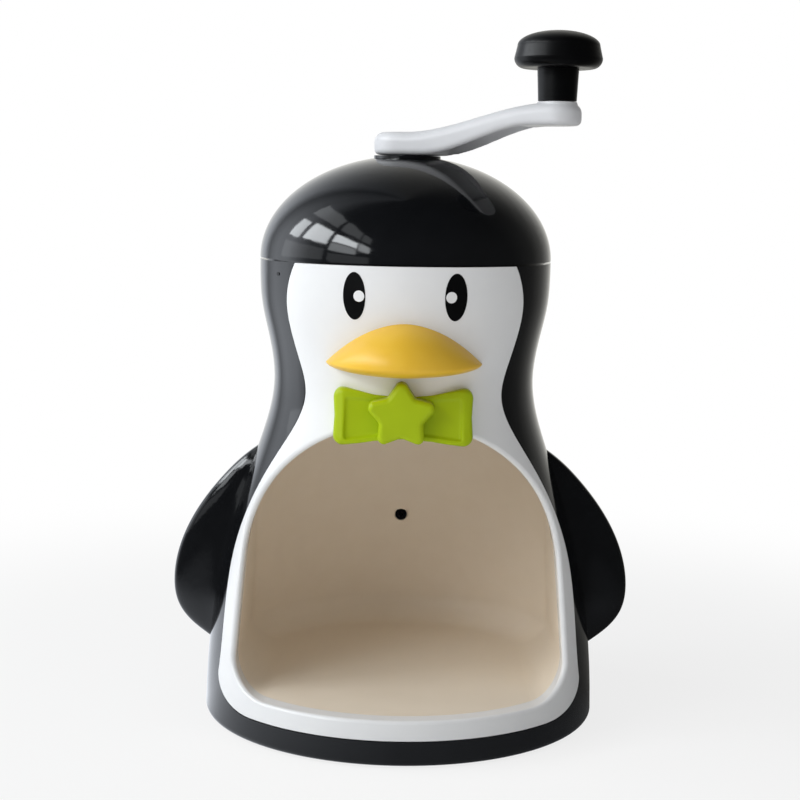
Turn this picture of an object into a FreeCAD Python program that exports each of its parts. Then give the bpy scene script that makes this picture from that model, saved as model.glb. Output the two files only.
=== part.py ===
import FreeCAD, Part
import math
import os

from FreeCAD import Vector

# Hand cranked ice shaver in the shape of a penguin. Millimetres, +Z up, the front faces -Y.
# The axis of the body, the crank and the ice chamber is Z. z = 0 is the table under the feet.

os.makedirs("parts", exist_ok=True)

# ---------------------------------------------------------------- driving dimensions

# Body: one outline turned about Z, given by its radius at a few heights
foot_height = 0.8
base_radius = 86.8
hip_z, hip_radius = 30.0, 85.4
belly_z, belly_radius = 75.0, 77.8
shoulder_z, shoulder_radius = 121.0, 63.4
neck_z, neck_radius = 151.0, 57.2
cheek_z, cheek_radius = 177.0, 61.7
seam_z, seam_radius = 201.5, 63.7
base_lean = 0.02
shell_wall = 2.6
base_edge_round = 2.4

# Fits
running_fit = 0.05
loose_fit = 0.3
face_gap = 0.35

# White front panel: half-angle round the body at a few heights, and its lower edge
panel_proud = 0.3
panel_wall = 2.5
panel_side_angle = 60.0
panel_low_z = 11.5
panel_corner_z = 25.0
panel_corner_sweep = 29.0
panel_hip_angle = 65.0
panel_waist_z, panel_waist_angle = 50.0, 65.4
panel_wide_z, panel_wide_angle = 80.0, 68.7
panel_arm_z, panel_arm_angle = 105.0, 63.8
panel_chest_z, panel_chest_angle = 127.0, 53.0
panel_neck_z, panel_neck_angle = 146.0, 46.1
panel_chin_z, panel_chin_angle = 162.0, 49.6
panel_cheek_z, panel_cheek_angle = 178.0, 51.9
panel_top_angle = 46.2
panel_edge_round = 0.5
lap_width = 5.0
lap_wall = 1.6
lap_root = 4.0
lap_top_gap = 1.0

# Bowl bay: an arch in front view, closed at the back by a wall that follows the body
bay_arch_radius = 66.8
bay_arch_z = 70.2
bay_lean = 4.0
bay_floor_z = 19.8
bay_corner_round = 14.0
bay_lip_wall = 2.4
bay_lip_round = 1.5
bay_back_gap = 9.0
bay_wall = 2.0
bay_back_round = 12.0

# Ice chamber and its blade
chamber_radius = 45.0
chamber_wall = 2.2
chamber_low_z = 143.0
chamber_floor = 3.0
flange_thick = 2.5
flange_fit = 0.3
ledge_width = 3.5
ledge_thick = 3.0
outlet_radius = 40.5
chute_wall = 2.0
plate_thick = 1.2
plate_screw_count = 3
plate_screw_ring = 42.8
plate_screw_radius = 1.0
plate_screw_head = 2.0
plate_screw_head_depth = 1.0
plate_screw_tip_gap = 0.6
slot_length = 33.0
slot_inner_x = 4.0
slot_front, slot_back = 2.5, 5.0
blade_thick = 1.2
blade_length = 14.0
blade_tilt = 25.0
blade_rise = 0.5
blade_bevel = 1.9
seat_back = 14.0
blade_screw_radius = 1.1
blade_screw_head = 2.2
blade_screw_head_thick = 1.2
blade_screw_bite = 2.2
blade_screw_shift = 10.5
blade_screw_inset = 8.0

# Head cap
cap_gap = 0.8
cap_height = 44.5
cap_wall = 2.5
boss_radius = 14.6
boss_root = 5.0
rim_width = 1.6
skirt_inset = 0.2
cap_plate_thick = 2.5
cap_plate_fit = 0.2
turret_radius = 15.0
turret_wall = 2.5
turret_height = 23.2
ring_wall = 2.2
ring_depth = 6.0
ring_fit = 0.3
key_count = 3
key_angle = 30.0
key_width = 6.0
key_height = 8.0
key_depth = 1.4
cap_screw_ring = 50.0
cap_screw_angle = 90.0
cap_post_radius = 3.5

# Shaft, bushings and crank
shaft_radius = 4.0
shaft_square = 8.0
shaft_flat = 6.5
shaft_end_radius = 3.0
shaft_end_length = 1.4
bush_wall = 2.0
bush_flange = 2.5
bush_flange_thick = 1.5
upper_bush_length = 12.5
lower_bush_length = 5.0
crank_angle = -25.0
crank_reach = 68.6
hub_gap = 0.3
hub_radius = 14.5
hub_thick = 9.8
hub_web = 1.0
arm_end_radius = 10.3
arm_end_thick = 9.3
arm_rise = 12.7
arm_top_round = 4.2
arm_low_round = 2.4
bend_low_start, bend_low_end = 12.0, 61.6
bend_high_start, bend_high_end = 4.0, 68.1
tip_boss_radius = 8.4
tip_boss_height = 0.6
hub_screw_radius = 2.0
hub_screw_head = 3.8
hub_screw_head_thick = 1.9
hub_screw_length = 11.0
hub_plug_radius = 6.0
hub_plug_thick = 0.9

# Knob
knob_gap = 0.3
knob_radius = 18.4
knob_rim_radius = 17.2
knob_stem_radius = 8.1
knob_neck_radius = 8.7
knob_stem_height = 13.3
knob_head_height = 9.3
knob_dome_height = 6.4
knob_top_flat = 0.6
knob_low_round = 4.2
knob_recess_radius = 7.0
knob_recess_depth = 5.6
pin_radius = 3.0
pin_head_radius = 5.2
pin_head_thick = 2.5
pin_thread_radius = 2.5
insert_wall = 1.7
insert_length = 8.3

# Presser, its spring and clip
presser_radius = 41.0
presser_thick = 3.0
presser_low_z = 152.0
presser_hub_radius = 11.0
presser_hub_height = 8.0
presser_rib_height = 1.6
presser_rib_width = 2.0
presser_rib_count = 4
spike_radius = 1.5
spike_tip_radius = 0.3
spike_length = 2.8
spike_root = 2.0
spike_rings = [(17.0, 4, 20.0), (27.0, 4, 65.0), (36.0, 8, 10.0)]
spring_radius = 8.5
spring_wire = 0.7
spring_turns = 8
washer_radius = 10.5
washer_thick = 0.8
clip_radius = 7.0
clip_thick = 0.8

# Wings: how far the edge stands out of the body at a few heights, from the lower end to the upper
wing_stations = [(-3.6, 27.5), (1.1, 31.5), (7.4, 36.1), (15.4, 44.5), (20.0, 57.0), (20.7, 72.0),
                 (17.6, 88.6), (10.4, 105.0), (2.3, 116.0), (-5.1, 125.0)]
wing_thick = 13.0
wing_flare = 7.0
wing_root_depth = 6.0
wing_full_span = 20.0

# Face
eye_angle = 19.0
eye_z = 189.3
eye_half_width = 4.8
eye_half_height = 9.7
eye_depth = 0.8
eye_proud = 0.15
glint_angle = 17.1
glint_radius = 2.3
glint_proud = 0.3
beak_half_width = 32.3
beak_z = 161.2
beak_height = 19.3
beak_drop = 5.4
beak_reach = 21.0
beak_root, beak_end_root = 46.0, 40.0
beak_edge = 0.3
beak_sections = 6
beak_end_share = 0.985
mark_angle = -57.0
mark_z = 196.3
mark_half_width = 1.1
mark_half_height = 0.75
mark_proud = 0.25

# Bow tie and star
bow_half_width = 29.1
bow_high_z, bow_low_z = 152.5, 127.2
bow_waist_x = 12.0
bow_waist_high_z, bow_waist_low_z = 148.8, 130.0
bow_thick = 5.0
bow_pinch = 0.8
bow_corner_round = 4.0
bow_edge_round = 2.6
star_x = -0.8
star_z = 140.8
star_radius = 16.0
star_inner_radius = 9.1
star_spread = 1.05
star_points = 5
star_stand = 3.8
star_tip_round = 2.8
star_notch_round = 2.0
star_edge_round = 2.2

# Underside and screws
bottom_thick = 2.5
bottom_fit = 0.3
bottom_z = 2.0
pad_radius = 7.0
pad_inset = 20.8
corner_count = 4
post_inset = 4.2
post_angle = 45.0
post_radius = 4.5
floor_post_radius = 4.5
floor_post_x = 34.0
floor_post_y = 40.0
screw_radius = 1.5
screw_head_radius = 3.0
screw_head_depth = 1.5
screw_length = 8.0
back_screw_z = 73.6
back_recess_radius = 3.0
back_recess_chamfer = 0.7
back_boss_radius = 4.6
back_boss_depth = 2.4
back_recess_floor = 1.5
back_head_radius = 2.7
back_head_thick = 1.8
back_screw_bite = 3.6

# Construction
reach = 160.0
skin_tolerance = 0.05

# ---------------------------------------------------------------- worked out sizes

cap_low_z = seam_z + cap_gap
cap_top_z = cap_low_z + cap_height
flange_low_z = seam_z - flange_thick
ledge_low_z = flange_low_z - ledge_thick
floor_top_z = chamber_low_z + chamber_floor
plate_top_z = floor_top_z + plate_thick
hub_low_z = cap_top_z + hub_gap
hub_top_z = hub_low_z + hub_thick
tip_low_z = hub_low_z + arm_rise
tip_top_z = tip_low_z + arm_end_thick
tip_seat_z = tip_top_z + tip_boss_height
knob_low_z = tip_seat_z + knob_gap
knob_head_z = knob_low_z + knob_stem_height
knob_rim_z = knob_head_z + knob_head_height
knob_seat_z = knob_rim_z - knob_recess_depth
turret_top_z = cap_low_z + turret_height
presser_top_z = presser_low_z + presser_thick
spring_low_z = presser_top_z + presser_hub_height
bush_flange_radius = shaft_radius + bush_wall + bush_flange
lower_flange_z = turret_top_z - turret_wall
shoulder_top_z = lower_flange_z - bush_flange_thick - washer_thick
hub_seat_z = hub_top_z - hub_plug_thick - hub_screw_head_thick
shaft_top_z = hub_seat_z - hub_web
bottom_top_z = bottom_z + bottom_thick
post_ring = base_radius - shell_wall - post_inset
pad_ring = base_radius - pad_inset
insert_radius = pin_thread_radius + insert_wall
flange_radius = seam_radius - shell_wall - flange_fit
rim_inner = flange_radius - rim_width


# ---------------------------------------------------------------- helpers

def line(a, b):
    return Part.LineSegment(a, b).toShape()


def arc(a, b, c):
    return Part.Arc(a, b, c).toShape()


def prism(face, direction, start, end):
    # a flat face carried from start to end along a unit direction
    moved = face.copy()
    moved.translate(direction * start)
    return moved.extrude(direction * (end - start))


def turned(points):
    # a solid turned about Z from a closed outline of (radius, height) points
    corners = [Vector(radius, 0, height) for radius, height in points]
    face = Part.Face(Part.makePolygon(corners + corners[:1]))
    return face.revolve(Vector(0, 0, 0), Vector(0, 0, 1), 360)


def rod(radius, low, high, x=0.0, y=0.0):
    return Part.makeCylinder(radius, high - low, Vector(x, y, low))


def tube(inner, outer, low, high, x=0.0, y=0.0):
    return rod(outer, low, high, x, y).cut(rod(inner, low, high, x, y))


def slab(low, high):
    return rod(reach, low, high)


def half_space(sign):
    # everything in front of (-1) or behind (+1) the plane y = 0
    start = -reach if sign < 0 else 0
    return Part.makeBox(2 * reach, reach, 3 * reach, Vector(-reach, start, -reach))


def joined(shapes):
    return shapes[0].multiFuse(shapes[1:]).removeSplitter()


def mirrored(shape):
    return shape.mirror(Vector(0, 0, 0), Vector(1, 0, 0))


def on_ring(radius, angle):
    return radius * math.cos(math.radians(angle)), radius * math.sin(math.radians(angle))


def outward(angle):
    # level direction at an angle from the front, positive towards +X
    return Vector(math.sin(math.radians(angle)), -math.cos(math.radians(angle)), 0)


def sideways(angle):
    return Vector(math.cos(math.radians(angle)), math.sin(math.radians(angle)), 0)


def export(name, shape):
    shape.exportStep("parts/" + name + ".step")


# ---------------------------------------------------------------- body outline

body_stations = [
    (base_radius, foot_height),
    (hip_radius, hip_z),
    (belly_radius, belly_z),
    (shoulder_radius, shoulder_z),
    (neck_radius, neck_z),
    (cheek_radius, cheek_z),
    (seam_radius, seam_z),
]


def body_curve(offset=0.0):
    curve = Part.BSplineCurve()
    points = [Vector(radius + offset, 0, height) for radius, height in body_stations]
    curve.interpolate(Points=points, InitialTangent=Vector(-base_lean, 0, 1), FinalTangent=Vector(0, 0, 1))
    return curve


outline_curve = body_curve()


def body_radius(height):
    low, high = outline_curve.FirstParameter, outline_curve.LastParameter
    for _ in range(40):
        middle = (low + high) / 2
        if outline_curve.value(middle).z < height:
            low = middle
        else:
            high = middle
    return outline_curve.value(low).x


def body_solid(offset=0.0):
    # the body grown by an offset in radius, carried past both of its ends
    curve = body_curve(offset)
    start, end = curve.StartPoint, curve.EndPoint
    low_out, high_out = Vector(start.x, 0, -reach), Vector(end.x, 0, seam_z + reach)
    low_in, high_in = Vector(0, 0, -reach), Vector(0, 0, seam_z + reach)
    edges = [line(low_in, low_out), line(low_out, start), curve.toShape()]
    edges += [line(end, high_out), line(high_out, high_in), line(high_in, low_in)]
    return Part.Face(Part.Wire(edges)).revolve(Vector(0, 0, 0), Vector(0, 0, 1), 360)


def body_layer(outer, inner):
    return body_solid(outer).cut(body_solid(inner))


# ---------------------------------------------------------------- panel and bay outlines

panel_stations = [
    (panel_corner_z, panel_hip_angle),
    (panel_waist_z, panel_waist_angle),
    (panel_wide_z, panel_wide_angle),
    (panel_arm_z, panel_arm_angle),
    (panel_chest_z, panel_chest_angle),
    (panel_neck_z, panel_neck_angle),
    (panel_chin_z, panel_chin_angle),
    (panel_cheek_z, panel_cheek_angle),
    (seam_z, panel_top_angle),
]


def panel_half(gap):
    # all that lies on the panel's side of its right-hand edge, cut square to the body's skin
    across = sideways(panel_side_angle)

    def spot(shift, height):
        return across * shift + Vector(0, 0, height)

    edge_points = []
    for height, angle in panel_stations:
        turn = math.radians(angle - panel_side_angle)
        edge_points.append(spot((body_radius(height) + panel_proud) * math.sin(turn) + gap, height))
    side = Part.BSplineCurve()
    side.interpolate(Points=edge_points, InitialTangent=Vector(0, 0, 1))
    corner_shift = edge_points[0].dot(across) - gap - panel_corner_sweep
    centre = spot(corner_shift, panel_corner_z)
    low = panel_low_z - gap
    low_end = spot(corner_shift, low)
    ellipse = Part.Ellipse(edge_points[0], low_end, centre)
    corner = Part.ArcOfEllipse(ellipse, 0, math.pi / 2).toShape()
    top = edge_points[-1]
    high = seam_z + reach
    far = -reach
    high_near = spot(top.dot(across), high)
    edges = [side.toShape(), line(top, high_near), line(high_near, spot(far, high))]
    edges += [line(spot(far, high), spot(far, low)), line(spot(far, low), low_end), corner]
    face = Part.Face(Part.Wire(Part.__sortEdges__(edges)))
    return prism(face, outward(panel_side_angle), -reach, reach)


def panel_zone(gap=0.0):
    right = panel_half(gap)
    return right.common(mirrored(right))


def bay_face(grow=0.0):
    # the arch of the bowl bay, grown evenly all round
    lean = math.radians(bay_lean)
    radius = bay_arch_radius + grow
    corner = bay_corner_round + grow
    corner_z = bay_floor_z + bay_corner_round
    inset = bay_arch_radius - bay_corner_round - (corner_z - bay_arch_z) * math.sin(lean)
    corner_x = inset / math.cos(lean)
    half = (lean - math.pi / 2) / 2

    def side(sign):
        shoulder = Vector(sign * radius * math.cos(lean), 0, bay_arch_z + radius * math.sin(lean))
        upper = Vector(sign * (corner_x + corner * math.cos(lean)), 0, corner_z + corner * math.sin(lean))
        middle = Vector(sign * (corner_x + corner * math.cos(half)), 0, corner_z + corner * math.sin(half))
        lower = Vector(sign * corner_x, 0, corner_z - corner)
        return shoulder, upper, middle, lower

    right, left = side(1), side(-1)
    top = Vector(0, 0, bay_arch_z + radius)
    edges = [arc(right[0], top, left[0]), line(left[0], left[1]), arc(left[1], left[2], left[3])]
    edges += [line(left[3], right[3]), arc(right[3], right[2], right[1]), line(right[1], right[0])]
    return Part.Face(Part.Wire(edges))


def bay_prism(grow=0.0, start=-reach, end=reach):
    return prism(bay_face(grow), Vector(0, 1, 0), start, end)


def oval_prism(angle, height, half_width, half_height, grow=0.0):
    # an upright oval carried outwards from the axis
    centre = Vector(0, 0, height)
    tall = centre + Vector(0, 0, half_height + grow)
    wide = centre + sideways(angle) * (half_width + grow)
    ends = (tall, wide) if half_height > half_width else (wide, tall)
    oval = Part.Ellipse(ends[0], ends[1], centre)
    return prism(Part.Face(Part.Wire(oval.toShape())), outward(angle), 0, reach)


# ---------------------------------------------------------------- shells

ledge = tube(seam_radius - shell_wall - ledge_width, reach, ledge_low_z, flange_low_z)


def skin_edges(shape, offset, keep):
    # edges that lie on the body's outline grown by offset and that keep() accepts
    found = []
    for edge in shape.Edges:
        spots = [edge.valueAt(edge.FirstParameter + share * (edge.LastParameter - edge.FirstParameter))
                 for share in (0.2, 0.5, 0.8)]
        on_skin = all(abs(math.hypot(p.x, p.y) - body_radius(p.z) - offset) < skin_tolerance for p in spots)
        if on_skin and keep(spots[1]):
            found.append(edge)
    return found


def eye_recess(sign):
    oval = oval_prism(sign * eye_angle, eye_z, eye_half_width, eye_half_height)
    return oval.cut(body_solid(panel_proud - eye_depth))


def front_panel():
    skin = body_solid(panel_proud).common(slab(panel_low_z, seam_z)).common(panel_zone())
    lip = bay_prism(bay_lip_wall, -reach, 0).cut(body_solid(bay_wall - bay_back_gap))
    hollow = body_solid(panel_proud - panel_wall).cut(lip).cut(ledge)
    panel = skin.cut(hollow).cut(bay_prism(0, -reach, 0))

    def at_bay(point):
        level = Vector(point.x, 0, point.z)
        return bay_face(bay_lip_round).isInside(level, skin_tolerance, True)

    panel = panel.makeFillet(bay_lip_round, skin_edges(panel, panel_proud, at_bay))
    panel = panel.makeFillet(panel_edge_round, skin_edges(
        panel, panel_proud, lambda point: not at_bay(point) and point.z < seam_z - panel_edge_round))
    return panel.cut(eye_recess(-1)).cut(eye_recess(1))


def back_screw_y(offset):
    return body_radius(back_screw_z) + offset


def back_rod(radius, start, end):
    return Part.makeCylinder(radius, end - start, Vector(0, start, back_screw_z), Vector(0, 1, 0))


def post_places():
    return [on_ring(post_ring, post_angle + 360 / corner_count * number) for number in range(corner_count)]


def floor_post_places():
    return [(x, y) for x in (-floor_post_x, floor_post_x) for y in (-floor_post_y, floor_post_y)]


def back_shell():
    outer = body_solid().common(slab(foot_height, seam_z))
    rim = [edge for edge in outer.Edges if edge.BoundBox.ZMax < foot_height + 0.01
           and edge.BoundBox.XMax > base_radius - 1]
    outer = outer.makeFillet(base_edge_round, rim)
    hollow = body_solid(-shell_wall).cut(ledge)
    shell = outer.cut(hollow).cut(panel_zone(face_gap))
    lap = body_layer(panel_proud - panel_wall, panel_proud - panel_wall - lap_wall)
    lap = lap.common(panel_zone(lap_root)).cut(panel_zone(-lap_width))
    lap = lap.common(slab(panel_low_z - lap_root, ledge_low_z - lap_top_gap))
    lap = lap.cut(bay_prism(bay_lip_wall + loose_fit, -reach, 0))
    pieces = [shell, lap]
    for x, y in post_places():
        post = rod(post_radius, bottom_top_z, panel_low_z - face_gap, x, y)
        pieces.append(post.common(body_solid(-shell_wall / 2)))
    pieces.append(back_rod(back_boss_radius, back_screw_y(-shell_wall - back_boss_depth), back_screw_y(-1)))
    body = joined(pieces)
    for x, y in post_places():
        body = body.cut(rod(screw_radius, bottom_top_z, bottom_z + screw_length, x, y))
    seat = back_screw_y(-shell_wall - back_boss_depth)
    body = body.cut(back_rod(screw_radius, seat, seat + back_screw_bite))
    return body.cut(alignment_mark())


def alignment_mark():
    oval = oval_prism(mark_angle, mark_z, mark_half_width, mark_half_height)
    return oval.common(body_layer(mark_proud, -mark_proud))


def bay_liner():
    hollow = bay_prism().common(body_solid(-bay_back_gap)).common(half_space(1))
    back_edges = skin_edges(hollow, -bay_back_gap, lambda point: point.y > 5)
    hollow = hollow.makeFillet(bay_back_round, back_edges)
    front = bay_prism(0, -reach, 0)
    outer = bay_prism(bay_wall).common(body_solid(bay_wall - bay_back_gap)).common(half_space(1))
    outer_edges = skin_edges(outer, bay_wall - bay_back_gap, lambda point: point.y > 5)
    outer = outer.makeFillet(bay_back_round + bay_wall, outer_edges)
    front_outer = bay_prism(bay_wall, -reach, 0).common(body_solid(bay_wall - bay_back_gap))
    chute_low = bay_arch_z
    chute = rod(outlet_radius + chute_wall, chute_low, chamber_low_z)
    seat = back_screw_y(-shell_wall - back_boss_depth)
    boss = back_rod(back_boss_radius, back_screw_y(-bay_back_gap), seat)
    pieces = [outer, front_outer, chute, boss]
    for x, y in floor_post_places():
        pieces.append(rod(floor_post_radius, bottom_top_z, bay_floor_z - bay_wall / 2, x, y))
    liner = joined(pieces).cut(hollow).cut(front)
    liner = liner.cut(rod(outlet_radius, chute_low - 1, chamber_low_z + 1))
    liner = liner.cut(back_rod(back_recess_radius, 0, seat - back_recess_floor))
    mouth_y = back_screw_y(-bay_back_gap)
    liner = liner.cut(Part.makeCone(back_recess_radius + 2 * back_recess_chamfer, back_recess_radius,
                                    2 * back_recess_chamfer, Vector(0, mouth_y - back_recess_chamfer, back_screw_z),
                                    Vector(0, 1, 0)))
    liner = liner.cut(back_rod(screw_radius, 0, seat + 1))
    for x, y in floor_post_places():
        liner = liner.cut(rod(screw_radius, bottom_top_z - 1, bottom_z + screw_length, x, y))
    return liner


def liner_screw():
    seat = back_screw_y(-shell_wall - back_boss_depth)
    head = back_rod(back_head_radius, seat - back_recess_floor - back_head_thick, seat - back_recess_floor)
    return head.fuse(back_rod(screw_radius, seat - back_recess_floor, seat + back_screw_bite)).removeSplitter()


def wing_section(stand_out, height):
    # one level slice of the wing: a round tip, flat sides and a root that flares into the body
    root_x = body_radius(height) - wing_root_depth
    span = stand_out + wing_root_depth
    tip_x = root_x + span
    half = wing_thick / 2 * min(1.0, math.sqrt(span / wing_full_span))
    flared = half + wing_flare
    poles = [(0.0, flared), (0.15, half + wing_flare / 4), (0.35, half), (0.6, half * 0.95), (0.85, half * 0.8),
             (1.0, half / 2)]
    front = [Vector(root_x + span * share, -y, height) for share, y in poles]
    back = [Vector(root_x + span * share, y, height) for share, y in reversed(poles)]
    rim = Part.BSplineCurve()
    rim.buildFromPoles(front + [Vector(tip_x, 0, height)] + back, False, 3)
    return Part.Wire([rim.toShape(), line(back[-1], front[0])])


def wing():
    sections = [wing_section(stand_out, height) for stand_out, height in wing_stations]
    return Part.makeLoft(sections, True, False).cut(body_solid())


# ---------------------------------------------------------------- chamber and blade

def plate_screw_places():
    return [on_ring(plate_screw_ring, cap_screw_angle + 360 / plate_screw_count * number)
            for number in range(plate_screw_count)]


def countersunk(x, y, face_z):
    # a screw that goes in from below, with its flat head level with face_z
    head = Part.makeCone(screw_head_radius, screw_radius, screw_head_depth, Vector(x, y, face_z))
    return head.fuse(rod(screw_radius, face_z + screw_head_depth, face_z + screw_length, x, y))


def plate_screw(x, y):
    head = Part.makeCone(plate_screw_head, plate_screw_radius, plate_screw_head_depth,
                         Vector(x, y, plate_top_z), Vector(0, 0, -1))
    low = chamber_low_z + plate_screw_tip_gap
    return head.fuse(rod(plate_screw_radius, low, plate_top_z - plate_screw_head_depth, x, y))


def ice_chamber():
    outer = chamber_radius + chamber_wall
    cup = turned([(outlet_radius, chamber_low_z), (outer, chamber_low_z), (outer, flange_low_z),
                  (flange_radius, flange_low_z), (flange_radius, seam_z), (chamber_radius, seam_z),
                  (chamber_radius, floor_top_z), (outlet_radius, floor_top_z)])
    for key in keys(ring_fit, ledge_low_z - key_height):
        cup = cup.cut(key)
    for x, y in plate_screw_places():
        cup = cup.cut(plate_screw(x, y))
    return cup


def keys(grow, low):
    # the upright keys on the cap's ring, or with grow the keyways that take them
    shapes = []
    for number in range(key_count):
        length = chamber_radius + key_depth + grow / 2
        key = Part.makeBox(length, key_width + 2 * grow, seam_z + cap_gap - low,
                           Vector(0, -key_width / 2 - grow, low))
        key = key.common(rod(chamber_radius + key_depth + grow / 2, low, cap_low_z))
        key.rotate(Vector(0, 0, 0), Vector(0, 0, 1), key_angle + 360 / key_count * number)
        shapes.append(key)
    return shapes


def blade_line(shift, drop):
    # a point at a distance down the blade from its edge, and a depth below its upper face
    tilt = math.radians(blade_tilt)
    y = shift * math.cos(tilt) - drop * math.sin(tilt)
    z = plate_top_z + blade_rise - shift * math.sin(tilt) - drop * math.cos(tilt)
    return Vector(slot_inner_x + loose_fit, y, z)


def blade():
    points = [blade_line(0, 0), blade_line(blade_length, 0), blade_line(blade_length, blade_thick),
              blade_line(blade_bevel, blade_thick)]
    face = Part.Face(Part.makePolygon(points + points[:1]))
    body = face.extrude(Vector(slot_length - 2 * loose_fit, 0, 0))
    for screw in blade_screws():
        body = body.cut(screw)
    return body


def blade_seat():
    tilt = math.radians(blade_tilt)
    edge = plate_top_z + blade_rise
    front = slot_back
    x = slot_inner_x + loose_fit
    points = [Vector(x, front, floor_top_z), Vector(x, seat_back, floor_top_z),
              Vector(x, seat_back, edge - seat_back * math.tan(tilt)),
              Vector(x, front, edge - front * math.tan(tilt))]
    face = Part.Face(Part.makePolygon(points + points[:1]))
    body = face.extrude(Vector(slot_length - 2 * loose_fit, 0, 0))
    for screw in blade_screws():
        body = body.cut(screw)
    return body


def blade_screws():
    tilt = math.radians(blade_tilt)
    upward = Vector(0, math.sin(tilt), math.cos(tilt))
    screws = []
    for across in (blade_screw_inset, slot_length - blade_screw_inset):
        spot = blade_line(blade_screw_shift, blade_thick) + Vector(across, 0, 0)
        head = Part.makeCylinder(blade_screw_head, blade_screw_head_thick,
                                 spot - upward * blade_screw_head_thick, upward)
        shank = Part.makeCylinder(blade_screw_radius, blade_thick + blade_screw_bite, spot, upward)
        screws.append(head.fuse(shank))
    return screws


def blade_plate():
    plate = rod(chamber_radius - ring_fit, floor_top_z, plate_top_z)
    slot = Part.makeBox(slot_length, slot_front + slot_back, plate_thick,
                        Vector(slot_inner_x, -slot_front, floor_top_z))
    plate = plate.cut(slot)
    for x, y in plate_screw_places():
        plate = plate.cut(plate_screw(x, y))
    return plate


# ---------------------------------------------------------------- head cap

def cap_dome(offset=0.0):
    # half an ellipsoid of revolution, grown or shrunk in both of its axes
    radius, height = seam_radius + offset, cap_height + offset
    ellipse = Part.Ellipse(Vector(radius, 0, cap_low_z), Vector(0, 0, cap_low_z + height),
                           Vector(0, 0, cap_low_z))
    quarter = Part.ArcOfEllipse(ellipse, 0, math.pi / 2).toShape()
    centre, rim = Vector(0, 0, cap_low_z), Vector(radius, 0, cap_low_z)
    edges = [line(centre, rim), quarter, line(Vector(0, 0, cap_low_z + height), centre)]
    return Part.Face(Part.Wire(edges)).revolve(Vector(0, 0, 0), Vector(0, 0, 1), 360)


def cap_screw_places():
    return [on_ring(cap_screw_ring, cap_screw_angle + 360 / key_count * number) for number in range(key_count)]


def cap_screws():
    return [countersunk(x, y, cap_low_z) for x, y in cap_screw_places()]


def head_cap():
    outer = cap_dome().fuse(rod(boss_radius, cap_top_z - boss_root, cap_top_z))
    plate_top = cap_low_z + cap_plate_thick
    sleeve = rod(shaft_radius + bush_wall + cap_wall, cap_top_z - upper_bush_length, cap_top_z)
    posts = [rod(cap_post_radius, plate_top, cap_top_z, x, y) for x, y in cap_screw_places()]
    band = tube(rim_inner, reach, cap_low_z, plate_top)
    inside = cap_dome(-cap_wall)
    for filled in posts + [sleeve, band]:
        inside = inside.cut(filled)
    skirt = tube(rim_inner, flange_radius - skirt_inset, seam_z, cap_low_z)
    cap = outer.cut(inside).fuse(skirt)
    cap = cap.cut(rod(shaft_radius + bush_wall, cap_low_z, cap_top_z + 1))
    for screw in cap_screws():
        cap = cap.cut(screw)
    return cap.removeSplitter()


def cap_plate():
    plate_radius = rim_inner - cap_plate_fit
    ring_outer = chamber_radius - ring_fit
    ring_inner = ring_outer - ring_wall
    ring_low = cap_low_z - ring_depth
    plate_top = cap_low_z + cap_plate_thick
    plate = rod(plate_radius, cap_low_z, plate_top)
    plate = plate.fuse(rod(turret_radius, cap_low_z, turret_top_z))
    plate = plate.fuse(tube(ring_inner, ring_outer, ring_low, cap_low_z))
    for key in keys(0, ring_low):
        plate = plate.fuse(key.cut(rod(ring_inner, ring_low, cap_low_z)).common(slab(ring_low, seam_z)))
    plate = plate.cut(rod(turret_radius - turret_wall, ring_low, turret_top_z - turret_wall))
    plate = plate.cut(rod(shaft_radius + bush_wall, ring_low, turret_top_z + 1))
    for screw in cap_screws():
        plate = plate.cut(screw)
    return plate.removeSplitter()


def bushing(flange_z, length):
    # a flanged sleeve that stands on its flange
    inner, outer = shaft_radius + running_fit, shaft_radius + bush_wall
    sleeve = tube(inner, outer, flange_z, flange_z + length)
    flange = tube(inner, bush_flange_radius, flange_z - bush_flange_thick, flange_z)
    return sleeve.fuse(flange).removeSplitter()


def drive_shaft():
    half = shaft_square / 2
    square = Part.makeBox(shaft_square, shaft_square, shoulder_top_z - presser_low_z,
                          Vector(-half, -half, presser_low_z))
    shaft = square.fuse(rod(shaft_radius, shoulder_top_z, shaft_top_z))
    shaft = shaft.fuse(rod(shaft_end_radius, presser_low_z - clip_thick - shaft_end_length, presser_low_z))
    flats = Part.makeBox(4 * shaft_radius, shaft_flat, reach,
                         Vector(-2 * shaft_radius, -shaft_flat / 2, hub_low_z))
    turned_end = rod(shaft_radius, hub_low_z, shaft_top_z).cut(flats)
    turned_end.rotate(Vector(0, 0, 0), Vector(0, 0, 1), crank_angle)
    shaft = shaft.cut(turned_end).removeSplitter()
    return shaft.cut(rod(hub_screw_radius, hub_seat_z - hub_screw_length, shaft_top_z))


def crank_outline():
    lean = math.asin((hub_radius - arm_end_radius) / crank_reach)
    sine, cosine = math.sin(lean), math.cos(lean)
    hub_side = Vector(hub_radius * sine, hub_radius * cosine, 0)
    tip_side = Vector(crank_reach + arm_end_radius * sine, arm_end_radius * cosine, 0)
    hub_other = Vector(hub_side.x, -hub_side.y, 0)
    tip_other = Vector(tip_side.x, -tip_side.y, 0)
    edges = [arc(hub_other, Vector(-hub_radius, 0, 0), hub_side), line(hub_side, tip_side)]
    edges += [arc(tip_side, Vector(crank_reach + arm_end_radius, 0, 0), tip_other), line(tip_other, hub_other)]
    return Part.Face(Part.Wire(edges))


def rise(start_x, start_z, end_x, end_z):
    # a smooth step that leaves and ends level
    third = (end_x - start_x) / 3
    curve = Part.BezierCurve()
    curve.setPoles([Vector(start_x, 0, start_z), Vector(start_x + third, 0, start_z),
                    Vector(end_x - third, 0, end_z), Vector(end_x, 0, end_z)])
    return curve.toShape()


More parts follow.
